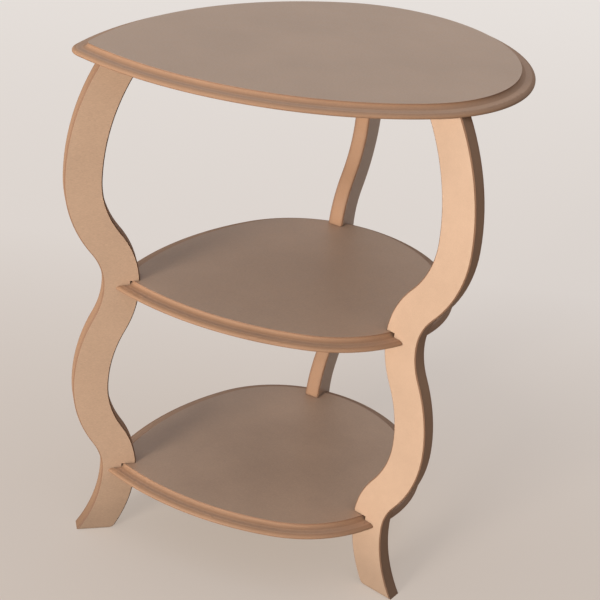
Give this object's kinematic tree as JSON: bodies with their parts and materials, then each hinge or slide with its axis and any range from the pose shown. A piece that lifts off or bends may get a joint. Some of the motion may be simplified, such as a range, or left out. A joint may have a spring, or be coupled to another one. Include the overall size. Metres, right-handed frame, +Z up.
{
  "type": "tiered side table",
  "caption": "Tiered side table with three drop-shaped boards, a stepped edge moulding and three serpentine flat-board legs, in unpainted fibreboard.",
  "frame": {"origin": "on the floor, on the table's upright axis, where the planes of the legs cross", "axes": "+Z up along the table's axis, -X towards the left leg at the boards' points, +X towards the middle of the round end between the right and rear legs, -Y to the front"},
  "size_m": [0.4854, 0.3806, 0.6],
  "materials": {
    "board": "raw medium-density fibreboard, smooth faces and a sanded moulded edge",
    "leg": "raw medium-density fibreboard with sawn and sanded curved edges",
    "dowel": "plain beech"
  },
  "bodies": {
    "root": {"top_panel": "board", "middle_shelf": "board", "bottom_shelf": "board", "leg_left": "leg", "leg_right": "leg", "leg_rear": "leg", "dowel_left_outer": "dowel", "dowel_left_inner": "dowel", "dowel_right_outer": "dowel", "dowel_right_inner": "dowel", "dowel_rear_outer": "dowel", "dowel_rear_inner": "dowel"}
  },
  "joints": []
}
